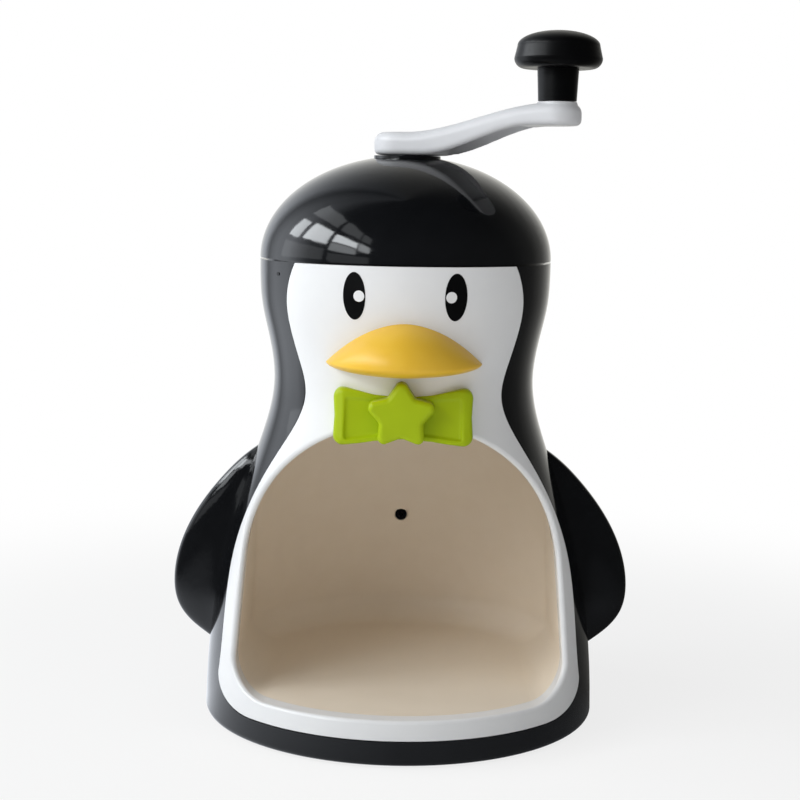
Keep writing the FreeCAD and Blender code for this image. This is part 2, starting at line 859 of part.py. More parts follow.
def crank_side():
    # the arm seen from its side: flat at the hub, a smooth rise, flat at the tip
    far = crank_reach + 2 * arm_end_radius
    near = -2 * hub_radius
    edges = [line(Vector(near, 0, hub_low_z), Vector(bend_low_start, 0, hub_low_z)),
             rise(bend_low_start, hub_low_z, bend_low_end, tip_low_z),
             line(Vector(bend_low_end, 0, tip_low_z), Vector(far, 0, tip_low_z)),
             line(Vector(far, 0, tip_low_z), Vector(far, 0, tip_top_z)),
             line(Vector(far, 0, tip_top_z), Vector(bend_high_end, 0, tip_top_z)),
             rise(bend_high_end, tip_top_z, bend_high_start, hub_top_z),
             line(Vector(bend_high_start, 0, hub_top_z), Vector(near, 0, hub_top_z)),
             line(Vector(near, 0, hub_top_z), Vector(near, 0, hub_low_z))]
    return prism(Part.Face(Part.Wire(edges)), Vector(0, 1, 0), -2 * hub_radius, 2 * hub_radius)


def rim_edges(arm):
    # the arm's long edges, split into those of its upper and of its lower side
    upper, lower = [], []
    for edge in arm.Edges:
        box = edge.BoundBox
        flat = box.XLength < skin_tolerance and min(box.YLength, box.ZLength) < skin_tolerance
        if flat:
            continue
        middle = edge.valueAt((edge.FirstParameter + edge.LastParameter) / 2)
        share = (middle.x - bend_low_start) / (bend_high_end - bend_low_start)
        centre_z = (hub_low_z + hub_top_z) / 2 + max(0.0, min(1.0, share)) * arm_rise
        (upper if middle.z > centre_z else lower).append(edge)
    return upper, lower


def crank_arm():
    arm = crank_side().common(prism(crank_outline(), Vector(0, 0, 1), 0, 2 * reach))
    upper, lower = rim_edges(arm)
    arm = arm.makeFillet(arm_top_round, upper)
    arm = arm.makeFillet(arm_low_round, [edge for edge in arm.Edges if matches(edge, lower)])
    arm = arm.fuse(rod(tip_boss_radius, tip_low_z + arm_end_thick / 2, tip_seat_z, crank_reach, 0))
    arm = arm.cut(rod(hub_plug_radius, hub_seat_z, hub_top_z + 1))
    arm = arm.cut(rod(hub_screw_radius, hub_low_z, hub_top_z))
    arm = arm.cut(rod(insert_radius, tip_seat_z - insert_length, tip_seat_z, crank_reach, 0))
    flats = Part.makeBox(4 * shaft_radius, shaft_flat, reach,
                         Vector(-2 * shaft_radius, -shaft_flat / 2, hub_low_z - 1))
    arm = arm.cut(rod(shaft_radius, hub_low_z, shaft_top_z).common(flats))
    return aimed(arm)


def matches(edge, others):
    middle = edge.valueAt((edge.FirstParameter + edge.LastParameter) / 2)
    for other in others:
        spot = other.valueAt((other.FirstParameter + other.LastParameter) / 2)
        if middle.distanceToPoint(spot) < 0.5:
            return True
    return False


def aimed(shape):
    # turns a piece of the crank from along +X to where the crank stands at rest
    shape.rotate(Vector(0, 0, 0), Vector(0, 0, 1), crank_angle)
    return shape


def hub_screw():
    head = rod(hub_screw_head, hub_seat_z, hub_seat_z + hub_screw_head_thick)
    return head.fuse(rod(hub_screw_radius, hub_seat_z - hub_screw_length, hub_seat_z)).removeSplitter()


def hub_plug():
    return rod(hub_plug_radius, hub_top_z - hub_plug_thick, hub_top_z)


def arm_insert():
    return aimed(tube(pin_thread_radius, insert_radius, tip_seat_z - insert_length, tip_seat_z, crank_reach, 0))


def knob_pin():
    seat = knob_seat_z + knob_gap
    head = rod(pin_head_radius, seat, seat + pin_head_thick, crank_reach, 0)
    shoulder = rod(pin_radius, tip_seat_z, seat, crank_reach, 0)
    thread = rod(pin_thread_radius, tip_seat_z - insert_length, tip_seat_z, crank_reach, 0)
    return aimed(head.fuse(shoulder).fuse(thread).removeSplitter())


def knob_grip():
    side_low = Vector(knob_radius, 0, knob_head_z + knob_low_round)
    under = Vector(knob_radius - knob_low_round, 0, knob_head_z)
    turn = knob_low_round * math.sqrt(0.5)
    middle = Vector(knob_radius - knob_low_round + turn, 0, knob_head_z + knob_low_round - turn)
    stem_low = Vector(knob_stem_radius, 0, knob_low_z)
    stem_high = Vector(knob_neck_radius, 0, knob_head_z)
    rim = Vector(knob_rim_radius, 0, knob_rim_z)
    axis_low, axis_high = Vector(0, 0, knob_low_z), Vector(0, 0, knob_rim_z)
    edges = [line(axis_low, stem_low), line(stem_low, stem_high), line(stem_high, under)]
    edges += [arc(under, middle, side_low), line(side_low, rim), line(rim, axis_high)]
    edges += [line(axis_high, axis_low)]
    grip = Part.Face(Part.Wire(edges)).revolve(Vector(0, 0, 0), Vector(0, 0, 1), 360)
    grip = grip.cut(rod(pin_radius + running_fit, knob_low_z, knob_rim_z))
    grip = grip.cut(rod(knob_recess_radius, knob_seat_z, knob_rim_z))
    grip.translate(Vector(crank_reach, 0, 0))
    return aimed(grip)


def knob_cap():
    # a low dome with a plug that closes the recess over the pin's head
    rim, top = Vector(knob_rim_radius, 0, knob_rim_z), Vector(0, 0, knob_rim_z + knob_dome_height)
    centre = Vector(0, 0, knob_rim_z)
    ellipse = Part.Ellipse(rim, top, centre)
    side = Part.ArcOfEllipse(ellipse, 0, math.acos(knob_top_flat / knob_rim_radius))
    flat_start = side.EndPoint
    flat_end = Vector(0, 0, flat_start.z)
    outline = Part.Wire([line(centre, rim), side.toShape(), line(flat_start, flat_end), line(flat_end, centre)])
    dome = Part.Face(outline).revolve(Vector(0, 0, 0), Vector(0, 0, 1), 360)
    plug_low = knob_seat_z + 2 * knob_gap + pin_head_thick
    dome = dome.fuse(rod(knob_recess_radius, plug_low, knob_rim_z)).removeSplitter()
    dome.translate(Vector(crank_reach, 0, 0))
    return aimed(dome)


# ---------------------------------------------------------------- presser

def spike_places():
    places = []
    for ring, count, turn in spike_rings:
        for number in range(count):
            places.append(on_ring(ring, turn + 360 / count * number))
    return places


def spike(x, y):
    low = presser_low_z - spike_length
    tip = Part.makeCone(spike_tip_radius, spike_radius, spike_length, Vector(x, y, low))
    return tip.fuse(rod(spike_radius, presser_low_z, presser_low_z + spike_root, x, y)).removeSplitter()


def presser():
    disc = rod(presser_radius, presser_low_z, presser_top_z)
    disc = disc.fuse(rod(presser_hub_radius, presser_low_z, spring_low_z))
    rib_top_z = presser_top_z + presser_rib_height
    disc = disc.fuse(tube(presser_radius - presser_rib_width, presser_radius, presser_top_z, rib_top_z))
    half_span = presser_radius - presser_rib_width / 2
    for number in range(presser_rib_count):
        rib = Part.makeBox(2 * half_span, presser_rib_width, presser_rib_height,
                           Vector(-half_span, -presser_rib_width / 2, presser_top_z))
        rib.rotate(Vector(0, 0, 0), Vector(0, 0, 1), 180 / presser_rib_count * number)
        disc = disc.fuse(rib)
    half = shaft_square / 2 + running_fit
    disc = disc.cut(Part.makeBox(2 * half, 2 * half, reach, Vector(-half, -half, presser_low_z - 1)))
    for x, y in spike_places():
        disc = disc.cut(rod(spike_radius, presser_low_z, presser_low_z + spike_root, x, y))
    return disc.removeSplitter()


def presser_spring():
    low = spring_low_z + spring_wire
    height = shoulder_top_z - spring_wire - low
    helix = Part.makeHelix(height / spring_turns, height, spring_radius)
    ring = Part.Circle(Vector(spring_radius, 0, 0), Vector(0, 1, 0), spring_wire).toShape()
    spring = Part.Wire(helix).makePipeShell([Part.Wire(ring)], True, True)
    spring.translate(Vector(0, 0, low))
    return spring


# ---------------------------------------------------------------- face, bow and star

def eye(sign):
    oval = oval_prism(sign * eye_angle, eye_z, eye_half_width, eye_half_height)
    patch = oval.common(body_layer(panel_proud + eye_proud, panel_proud - eye_depth))
    return patch.cut(glint_prism(sign).cut(body_solid(panel_proud - eye_depth / 2)))


def glint_prism(sign):
    return Part.makeCylinder(glint_radius, reach, Vector(0, 0, eye_z), outward(sign * glint_angle))


def glint(sign):
    return glint_prism(sign).common(body_layer(panel_proud + glint_proud, panel_proud - eye_depth / 2))


def beak():
    sections = []
    for number in range(-beak_sections, beak_sections + 1):
        share = math.sin(math.pi / 2 * number / beak_sections * beak_end_share)
        x = beak_half_width * share
        full = 1 - share * share
        high = beak_height * full + beak_edge
        low = beak_drop * math.sqrt(full) + beak_edge
        out = beak_reach * math.sqrt(full)
        skin = math.sqrt((body_radius(beak_z) + panel_proud) ** 2 - x * x)
        root = -beak_root + (beak_root - beak_end_root) * abs(share)
        front = -(skin + out)
        back, tip = Vector(x, root, beak_z), Vector(x, front, beak_z)
        ridge, keel = Vector(x, root, beak_z + high), Vector(x, root, beak_z - low)
        upper_edge = quarter_ellipse(back, tip, ridge)
        lower_edge = quarter_ellipse(back, tip, keel)
        sections.append(Part.Wire(Part.__sortEdges__([upper_edge, lower_edge, line(keel, ridge)])))
    return Part.makeLoft(sections, True, False).cut(body_solid(panel_proud))


def quarter_ellipse(centre, first, second):
    # a quarter of an ellipse between the ends of its two half axes
    if centre.distanceToPoint(first) < centre.distanceToPoint(second):
        first, second = second, first
    ellipse = Part.Ellipse(first, second, centre)
    return Part.ArcOfEllipse(ellipse, 0, math.pi / 2).toShape()


def bow_tie():
    middle_z = (bow_high_z + bow_low_z) / 2
    right = [(0, bow_waist_high_z - bow_pinch), (bow_waist_x, bow_waist_high_z), (bow_half_width, bow_high_z),
             (bow_half_width - bow_pinch, middle_z), (bow_half_width, bow_low_z),
             (bow_waist_x, bow_waist_low_z), (0, bow_waist_low_z + bow_pinch)]
    left = [(-x, z) for x, z in reversed(right[1:-1])]
    corners = [Vector(x, 0, z) for x, z in right + left]
    face = Part.Face(Part.makePolygon(corners + corners[:1]))
    block = prism(face, Vector(0, 1, 0), -reach, 0)
    outer_corners = [edge for edge in block.Edges if edge.BoundBox.YLength > 1
                     and abs(edge.CenterOfMass.x) > bow_half_width - bow_pinch / 2]
    block = block.makeFillet(bow_corner_round, outer_corners)
    bow = block.common(bow_cone())
    front_edges = [edge for edge in bow.Edges if on_bow_front(edge)]
    return bow.makeFillet(bow_edge_round, front_edges).cut(body_solid(panel_proud))


def bow_front_radius(height):
    # the bow's front is a cone that stands bow_thick proud of the panel at its upper and lower edge
    low, high = [body_radius(z) + panel_proud + bow_thick for z in (bow_low_z, bow_high_z)]
    return low + (high - low) * (height - bow_low_z) / (bow_high_z - bow_low_z)


def bow_cone():
    low, high = bow_low_z - star_radius, bow_high_z + star_radius
    return Part.makeCone(bow_front_radius(low), bow_front_radius(high), high - low, Vector(0, 0, low))


def on_bow_front(edge):
    spots = [edge.valueAt(edge.FirstParameter + share * (edge.LastParameter - edge.FirstParameter))
             for share in (0.2, 0.5, 0.8)]
    return all(abs(math.hypot(p.x, p.y) - bow_front_radius(p.z)) < skin_tolerance for p in spots)


def star_prism(start, end):
    corners = []
    for number in range(2 * star_points):
        radius = star_inner_radius if number % 2 else star_radius
        angle = math.radians(90 + 180 / star_points * number)
        corners.append(Vector(star_x + radius * math.cos(angle) * star_spread, 0,
                              star_z + radius * math.sin(angle)))
    face = Part.Face(Part.makePolygon(corners + corners[:1]))
    return prism(face, Vector(0, 1, 0), start, end)


def bow_star():
    front = -(body_radius(star_z) + panel_proud + bow_thick + star_stand)
    star = star_prism(front, 0)
    tips, notches = [], []
    for edge in star.Edges:
        box = edge.BoundBox
        if box.YLength < 1:
            continue
        radius = math.hypot(box.Center.x - star_x, box.Center.z - star_z)
        if radius > (star_radius + star_inner_radius) / 2:
            tips.append(edge)
        else:
            notches.append(edge)
    star = star.makeFillet(star_tip_round, tips)
    notches = [edge for edge in star.Edges if matches(edge, notches)]
    star = star.makeFillet(star_notch_round, notches)
    rims = [edge for edge in star.Edges if edge.BoundBox.YMax < front + 0.01]
    star = star.makeFillet(star_edge_round, rims)
    return star.cut(bow_cone())


# ---------------------------------------------------------------- underside

def bottom_screw_places():
    return post_places() + floor_post_places()


def bottom_screws():
    return [countersunk(x, y, bottom_z) for x, y in bottom_screw_places()]


def bottom_plate():
    plate = rod(base_radius - shell_wall - bottom_fit, bottom_z, bottom_top_z)
    for screw in bottom_screws():
        plate = plate.cut(screw)
    return plate


def rubber_feet():
    return [rod(pad_radius, 0, bottom_z, *on_ring(pad_ring, 360 / corner_count * number))
            for number in range(corner_count)]


# ---------------------------------------------------------------- build

right_wing = wing()
export("back_shell", back_shell())
export("alignment_mark", alignment_mark())
export("right_wing", right_wing)
export("left_wing", mirrored(right_wing))
export("front_panel", front_panel())
export("bay_liner", bay_liner())
export("liner_screw", liner_screw())
export("ice_chamber", ice_chamber())
export("blade_plate", blade_plate())
export("plate_screws", Part.makeCompound([plate_screw(x, y) for x, y in plate_screw_places()]))
export("blade", blade())
export("blade_seat", blade_seat())
export("blade_screws", Part.makeCompound(blade_screws()))
export("bottom_plate", bottom_plate())
export("bottom_screws", Part.makeCompound(bottom_screws()))
export("rubber_feet", Part.makeCompound(rubber_feet()))
export("head_cap", head_cap())
export("cap_plate", cap_plate())
export("cap_screws", Part.makeCompound(cap_screws()))
export("upper_bushing", bushing(cap_top_z - upper_bush_length, upper_bush_length))
export("lower_bushing", bushing(lower_flange_z, lower_bush_length))
export("drive_shaft", drive_shaft())
export("crank_arm", crank_arm())
export("hub_screw", hub_screw())
export("hub_plug", hub_plug())
export("arm_insert", arm_insert())
export("knob_pin", knob_pin())
export("spring_washer", tube(shaft_radius + running_fit, washer_radius, shoulder_top_z,
                             shoulder_top_z + washer_thick))
export("shaft_clip", tube(shaft_end_radius, clip_radius, presser_low_z - clip_thick, presser_low_z))
export("knob_grip", knob_grip())
export("knob_cap", knob_cap())
export("presser", presser())
export("presser_spikes", Part.makeCompound([spike(x, y) for x, y in spike_places()]))
export("presser_spring", presser_spring())
for side_name, side_sign in (("left", -1), ("right", 1)):
    export(side_name + "_eye", eye(side_sign))
    export(side_name + "_eye_glint", glint(side_sign))
export("beak", beak())
export("bow_tie", bow_tie())
export("bow_star", bow_star())
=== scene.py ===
import math

import bpy
from mathutils import Matrix, Vector


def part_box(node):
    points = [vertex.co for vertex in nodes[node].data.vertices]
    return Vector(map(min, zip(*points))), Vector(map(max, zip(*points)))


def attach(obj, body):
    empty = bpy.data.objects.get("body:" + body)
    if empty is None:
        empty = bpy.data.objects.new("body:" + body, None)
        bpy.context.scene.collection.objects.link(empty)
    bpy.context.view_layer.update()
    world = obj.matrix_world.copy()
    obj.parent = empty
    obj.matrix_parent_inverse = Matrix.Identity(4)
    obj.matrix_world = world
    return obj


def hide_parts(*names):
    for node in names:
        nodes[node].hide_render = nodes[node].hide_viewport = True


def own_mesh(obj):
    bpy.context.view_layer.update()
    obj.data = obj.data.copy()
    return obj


# Hand cranked ice shaver shaped as a penguin. Metres, Z up, the face looks along -Y.

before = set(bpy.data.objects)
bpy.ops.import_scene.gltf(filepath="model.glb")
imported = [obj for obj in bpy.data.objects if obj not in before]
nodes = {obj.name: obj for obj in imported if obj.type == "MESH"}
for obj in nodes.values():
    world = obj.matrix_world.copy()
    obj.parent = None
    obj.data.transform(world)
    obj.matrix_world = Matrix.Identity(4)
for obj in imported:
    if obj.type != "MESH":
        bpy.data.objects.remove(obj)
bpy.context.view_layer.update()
mm = 0.001
print("frame loaded:", len(nodes), "nodes")


# small helpers

def hexToLinear(code):
    # sRGB hex to the linear values that the shaders work in
    values = [int(code[i:i + 2], 16) / 255 for i in (1, 3, 5)]
    linear = [v / 12.92 if v <= 0.04045 else ((v + 0.055) / 1.055) ** 2.4 for v in values]
    return linear + [1.0]


def emptyTree(owner):
    # the cleared node tree of a material or a world
    owner.use_nodes = True
    owner.node_tree.nodes.clear()
    return owner.node_tree


def addNode(tree, kind, settings=None, **inputs):
    # one node with its settings, socket values and links; an input that is a socket gets linked,
    # and i0, i1 and so on stand for a socket by its number
    node = tree.nodes.new(kind)
    for name, value in (settings or {}).items():
        setattr(node, name, value)
    for name, value in inputs.items():
        numbered = name[0] == "i" and name[1:].isdigit()
        socket = node.inputs[int(name[1:]) if numbered else name.replace("_", " ")]
        if isinstance(value, bpy.types.NodeSocket):
            tree.links.new(value, socket)
        else:
            socket.default_value = value
    return node


def mixed(tree, share, first, second):
    # a colour between two, each a colour or a socket
    mix = addNode(tree, "ShaderNodeMix", {"data_type": "RGBA"}, i0=share, i6=first, i7=second)
    return mix.outputs[2]


def newMaterial(name, **shader):
    material = bpy.data.materials.new(name)
    tree = emptyTree(material)
    bsdf = addNode(tree, "ShaderNodeBsdfPrincipled", **shader)
    output = addNode(tree, "ShaderNodeOutputMaterial", Surface=bsdf.outputs[0])
    output.is_active_output = True
    return material, tree, bsdf


def objectNoise(tree, sizeMm, detail=2.0, stretch=(1, 1, 1)):
    # noise whose lumps are about sizeMm across
    coords = addNode(tree, "ShaderNodeTexCoord")
    mapping = addNode(tree, "ShaderNodeMapping", Vector=coords.outputs["Object"], Scale=stretch)
    return addNode(tree, "ShaderNodeTexNoise", Vector=mapping.outputs[0], Scale=1 / (sizeMm * mm),
                   Detail=detail)


def addSkin(tree, bsdf, pattern, colours, roughness, relief, reliefMm):
    # the pattern runs from the first colour and roughness to the second, the relief raises bumps
    noiseLow, noiseHigh = 0.3, 0.7   # nearly all of a noise lies between these
    first, second = (hexToLinear(colour) for colour in colours)
    tree.links.new(mixed(tree, pattern.outputs[0], first, second), bsdf.inputs["Base Color"])
    uneven = addNode(tree, "ShaderNodeMapRange", Value=pattern.outputs[0], From_Min=noiseLow,
                     From_Max=noiseHigh, To_Min=roughness[0], To_Max=roughness[1])
    tree.links.new(uneven.outputs[0], bsdf.inputs["Roughness"])
    bump = addNode(tree, "ShaderNodeBump", Height=relief.outputs[0], Distance=reliefMm * mm,
                   Strength=1.0)
    tree.links.new(bump.outputs[0], bsdf.inputs["Normal"])


# materials: plastics

mouldSkin = {"cloudMm": 9.0, "grainDetail": 1.0, "glossSpread": 0.15}


def moulded(name, darker, lighter, roughness, grainMm, grainHeightMm, ior=1.53, **shader):
    # an injection moulded plastic: cloudy colour, uneven gloss and the fine skin of its mould
    material, tree, bsdf = newMaterial(name, IOR=ior, **shader)
    cloud = objectNoise(tree, mouldSkin["cloudMm"])
    grain = objectNoise(tree, grainMm, mouldSkin["grainDetail"])
    gloss = [roughness * (1 + side * mouldSkin["glossSpread"]) for side in (-1, 1)]
    addSkin(tree, bsdf, cloud, (darker, lighter), gloss, grain, grainHeightMm)
    return material


# polished black ABS: deep black with sharp reflections and a faint mould wave
glossBlackAbs = moulded("glossBlackAbs", "#0E0F11", "#141517", 0.085, 6.0, 0.006)
# polished white ABS: clean white, soft gloss
glossWhiteAbs = moulded("glossWhiteAbs", "#EEEEEF", "#F2F2F2", 0.2, 5.0, 0.006)
# satin white ABS of the crank: finely eroded skin that blurs what it reflects
satinWhiteAbs = moulded("satinWhiteAbs", "#D9D9DC", "#DFDFE1", 0.4, 0.5, 0.01)
# satin white ABS of the bowl bay, warmer than the panel: the warm tint is painted warm shade
# inside the bay
bayWarmShadeAbs = moulded("bayWarmShadeAbs", "#EEE0CC", "#F3E6D4", 0.42, 0.6, 0.012)
# satin yellow ABS: golden and softly glossy
goldenAbs = moulded("goldenAbs", "#EFBB30", "#F3C53E", 0.4, 1.5, 0.006, Specular_IOR_Level=0.4)
# satin lime ABS: fresh green with a weak shine
limeAbs = moulded("limeAbs", "#A4BA06", "#ACC30A", 0.44, 1.5, 0.006, Specular_IOR_Level=0.22)
# satin black PP of the knob: fine grain, low shine
satinBlackPp = moulded("satinBlackPp", "#060607", "#0A0A0B", 0.36, 0.5, 0.012, ior=1.49,
                       Specular_IOR_Level=0.2)
# black pad-printing ink: flat black with a thin shine
padInk = moulded("padInk", "#070708", "#0B0B0C", 0.3, 2.0, 0.002, Specular_IOR_Level=0.25)
# natural acetal: milky and waxy
naturalAcetal = moulded("naturalAcetal", "#E4E3DD", "#ECEBE6", 0.38, 1.0, 0.008, ior=1.48)
# black rubber of the feet: dull, slightly dusty
footRubber = moulded("footRubber", "#1C1C1C", "#2A2A29", 0.8, 0.8, 0.03, ior=1.52)
# clear SAN of the ice cup: like glass, with a faint wave
clearSan = moulded("clearSan", "#E9F1F3", "#F1F6F7", 0.06, 8.0, 0.004, ior=1.57,
                   Transmission_Weight=1.0)


# materials: metals

metalSkin = {"lineHeightMm": 0.004, "smoothest": 0.8, "roughest": 1.25}


def metal(name, darker, lighter, roughness, lineMm, stretch):
    # a metal with fine lines from its rolling, grinding or turning
    material, tree, bsdf = newMaterial(name, Metallic=1.0)
    lines = objectNoise(tree, lineMm, stretch=stretch)
    gloss = (roughness * metalSkin["smoothest"], roughness * metalSkin["roughest"])
    addSkin(tree, bsdf, lines, (darker, lighter), gloss, lines, metalSkin["lineHeightMm"])
    return material


# rolled stainless sheet, brushed along X
brushedStainless = metal("brushedStainless", "#A9ABAD", "#C3C5C6", 0.28, 0.4, (0.06, 1, 1))
# ground blade steel: brighter, lines across the edge
groundStainless = metal("groundStainless", "#B9BCBF", "#D2D5D7", 0.2, 0.3, (1, 0.08, 0.08))
# turned stainless of shaft, screws, washer and clip: lines round the axis
turnedStainless = metal("turnedStainless", "#A4A6A8", "#C0C2C3", 0.25, 0.3, (0.3, 0.3, 1))
# drawn spring wire: grey, evenly satin
springWire = metal("springWire", "#8E9092", "#A8AAAB", 0.3, 0.5, (1, 1, 1))
# turned brass of the insert: warm yellow, lines round the axis
turnedBrass = metal("turnedBrass", "#B8923F", "#CBA656", 0.28, 0.3, (0.3, 0.3, 1))
# steel screw made nearly black and dull: painted shade of the deep hole it sits in
shadeBlackSteel = metal("shadeBlackSteel", "#17181A", "#222326", 0.45, 0.4, (1, 1, 1))

finishes = {
    "back_shell": glossBlackAbs, "alignment_mark": padInk, "right_wing": glossBlackAbs,
    "left_wing": glossBlackAbs, "front_panel": glossWhiteAbs, "bay_liner": bayWarmShadeAbs,
    "liner_screw": shadeBlackSteel, "ice_chamber": clearSan, "blade_plate": brushedStainless,
    "plate_screws": turnedStainless, "blade": groundStainless, "blade_seat": naturalAcetal,
    "blade_screws": turnedStainless, "bottom_plate": glossBlackAbs,
    "bottom_screws": turnedStainless, "rubber_feet": footRubber, "head_cap": glossBlackAbs,
    "cap_plate": naturalAcetal, "cap_screws": turnedStainless, "upper_bushing": naturalAcetal,
    "lower_bushing": naturalAcetal, "drive_shaft": turnedStainless, "crank_arm": satinWhiteAbs,
    "hub_screw": turnedStainless, "hub_plug": satinWhiteAbs, "arm_insert": turnedBrass,
    "knob_pin": turnedStainless, "spring_washer": turnedStainless, "shaft_clip": turnedStainless,
    "knob_grip": satinBlackPp, "knob_cap": satinBlackPp, "presser": naturalAcetal,
    "presser_spikes": turnedStainless, "presser_spring": springWire, "left_eye": padInk,
    "left_eye_glint": glossWhiteAbs, "right_eye": padInk, "right_eye_glint": glossWhiteAbs,
    "beak": goldenAbs, "bow_tie": limeAbs, "bow_star": limeAbs,
}
for nodeName, finish in finishes.items():
    slots = nodes[nodeName].data.materials
    if slots:
        for slotNumber in range(len(slots)):
            slots[slotNumber] = finish
    else:
        slots.append(finish)
print("materials assigned")


# pieces modelled here: screws with cross recesses, feet, bow, liner edges, crank arm and spring

up = (0, 0, 1)
down = (0, 0, -1)
creaseAngle = math.radians(35)   # a sharper edge stays an edge in the shading and gets its bevel


def startPiece():
    bpy.ops.object.select_all(action="DESELECT")


def makeActive(piece):
    bpy.context.view_layer.objects.active = piece


def newBlock(size, place=(0, 0, 0), turn=(0, 0, 0)):
    # a block to cut with, its place and turn settled into its mesh
    startPiece()
    bpy.ops.mesh.primitive_cube_add(size=1, location=place, rotation=turn)
    block = bpy.context.object
    block.scale = size
    bpy.ops.object.transform_apply(location=True, rotation=True, scale=True)
    return block


def pickFaces(piece, wanted):
    # selects the faces whose middle and normal the test accepts, and leaves edit mode open
    bpy.ops.object.mode_set(mode="EDIT")
    bpy.ops.mesh.select_mode(type="FACE")
    bpy.ops.mesh.select_all(action="DESELECT")
    bpy.ops.object.mode_set(mode="OBJECT")
    for polygon in piece.data.polygons:
        polygon.select = wanted(polygon.center, polygon.normal)
    bpy.ops.object.mode_set(mode="EDIT")


def modified(piece, kind, **settings):
    # one modifier with its settings, applied at once
    makeActive(piece)
    modifier = piece.modifiers.new(kind.lower(), kind)
    for name, value in settings.items():
        setattr(modifier, name, value)
    bpy.ops.object.modifier_apply(modifier=modifier.name)


def bevelled(piece, width, segments=2):
    modified(piece, "BEVEL", width=width, segments=segments, limit_method="ANGLE",
             angle_limit=creaseAngle)


def cutWith(piece, cutter, operation="DIFFERENCE"):
    modified(piece, "BOOLEAN", operation=operation, object=cutter)
    bpy.data.objects.remove(cutter)


def softened(piece, voxelMm, rounds):
    # an even mesh whose edges are rounded off
    modified(piece, "REMESH", mode="VOXEL", voxel_size=voxelMm * mm)
    modified(piece, "SMOOTH", factor=0.5, iterations=rounds)


def workCopy(node):
    # a copy of the node's mesh with its corners joined
    startPiece()
    copy = bpy.data.objects.new("copy", nodes[node].data.copy())
    bpy.context.scene.collection.objects.link(copy)
    copy.select_set(True)
    makeActive(copy)
    bpy.ops.object.mode_set(mode="EDIT")
    bpy.ops.mesh.select_all(action="SELECT")
    bpy.ops.mesh.remove_doubles(threshold=0.001 * mm)
    bpy.ops.object.mode_set(mode="OBJECT")
    return copy


def joinedPiece(name, parts):
    startPiece()
    for part in parts:
        part.select_set(True)
    makeActive(parts[0])
    if len(parts) > 1:
        bpy.ops.object.join()
    piece = bpy.context.view_layer.objects.active
    piece.name = name
    bpy.ops.object.transform_apply(location=True, rotation=True, scale=True)
    bpy.ops.object.shade_smooth_by_angle(angle=creaseAngle)
    return piece


def finished(piece, body, slot, material, *replaced):
    piece.data.materials.clear()
    piece.data.materials.append(material)
    if replaced:
        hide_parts(*replaced)
    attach(piece, body)


def ringPlaces(radius, count, first, height):
    angles = [math.radians(first + 360 / count * number) for number in range(count)]
    return [(radius * math.cos(angle), radius * math.sin(angle), height) for angle in angles]


# what all screws share, as shares of the head's radius unless said otherwise
screwForm = {
    "headCorners": 36,
    "shankCorners": 24,
    "headEdge": 0.05,      # bevel
    "shankEdge": 0.3,      # bevel, of the shank's radius
    "recessLength": 1.25,
    "recessWidth": 0.3,
    "recessDepth": 0.65,   # of the head's height
    "recessTaper": 0.5,    # size at the bottom, of the size at the top
}


def screwShape(screw):
    # a screw that goes in along +Z from its head's face at z = 0
    head, shank, deep, length = (screw[key] * mm for key in
                                 ("head", "shank", "headHeight", "length"))
    under = shank if screw["flat"] else head   # a flat head narrows to its shank
    startPiece()
    bpy.ops.mesh.primitive_cone_add(vertices=screwForm["headCorners"], radius1=head,
                                    radius2=under, depth=deep, location=(0, 0, deep / 2))
    top = bpy.context.object
    bpy.ops.object.transform_apply(location=True)
    bevelled(top, screwForm["headEdge"] * head)
    recess = (screwForm["recessLength"] * head, screwForm["recessWidth"] * head,
              2 * screwForm["recessDepth"] * deep)
    taper = screwForm["recessTaper"]
    for turn in (0, 90):
        cutter = newBlock(recess, turn=(0, 0, math.radians(turn)))
        pickFaces(cutter, lambda middle, normal: normal.z > 0.9)
        bpy.ops.transform.resize(value=(taper, taper, 1))
        bpy.ops.object.mode_set(mode="OBJECT")
        cutWith(top, cutter)
    startPiece()
    bpy.ops.mesh.primitive_cylinder_add(vertices=screwForm["shankCorners"], radius=shank,
                                        depth=length - deep,
                                        location=(0, 0, (length + deep) / 2))
    stem = bpy.context.object
    bpy.ops.object.transform_apply(location=True)
    bevelled(stem, screwForm["shankEdge"] * shank)
    return joinedPiece("screw", [top, stem])


def screwSet(name, screw, body, slot, material, node):
    # the screw is modelled once and copied to each of its places
    shape = screwShape(screw)
    copies = []
    for place, direction in screw["places"]:
        copy = bpy.data.objects.new(name, shape.data.copy())
        bpy.context.scene.collection.objects.link(copy)
        copy.location = [value * mm for value in place]
        copy.rotation_euler = Vector(up).rotation_difference(Vector(direction)).to_euler()
        copies.append(copy)
    bpy.data.objects.remove(shape)
    bpy.context.view_layer.update()
    finished(joinedPiece(name, copies), body, slot, material, node)


def bottomScrews():
    # four near the rim and four round the middle
    screw = {"head": 3.0, "headHeight": 1.5, "shank": 1.5, "length": 8.0, "flat": True,
             "places": [(place, up) for place in ringPlaces(80.0, 4, 45, 2.0)]
             + [((x, y, 2.0), up) for x in (-34.0, 34.0) for y in (-40.0, 40.0)]}
    screwSet("bottomScrews", screw, "body", "stainless", turnedStainless, "bottom_screws")


def capScrews():
    screw = {"head": 3.0, "headHeight": 1.5, "shank": 1.5, "length": 8.0, "flat": True,
             "places": [(place, up) for place in ringPlaces(50.0, 3, 90, 202.3)]}
    screwSet("capScrews", screw, "cap", "stainless", turnedStainless, "cap_screws")


def plateScrews():
    screw = {"head": 2.0, "headHeight": 1.0, "shank": 1.0, "length": 3.6, "flat": True,
             "places": [(place, down) for place in ringPlaces(42.8, 3, 90, 147.2)]}
    screwSet("plateScrews", screw, "body", "stainless", turnedStainless, "plate_screws")


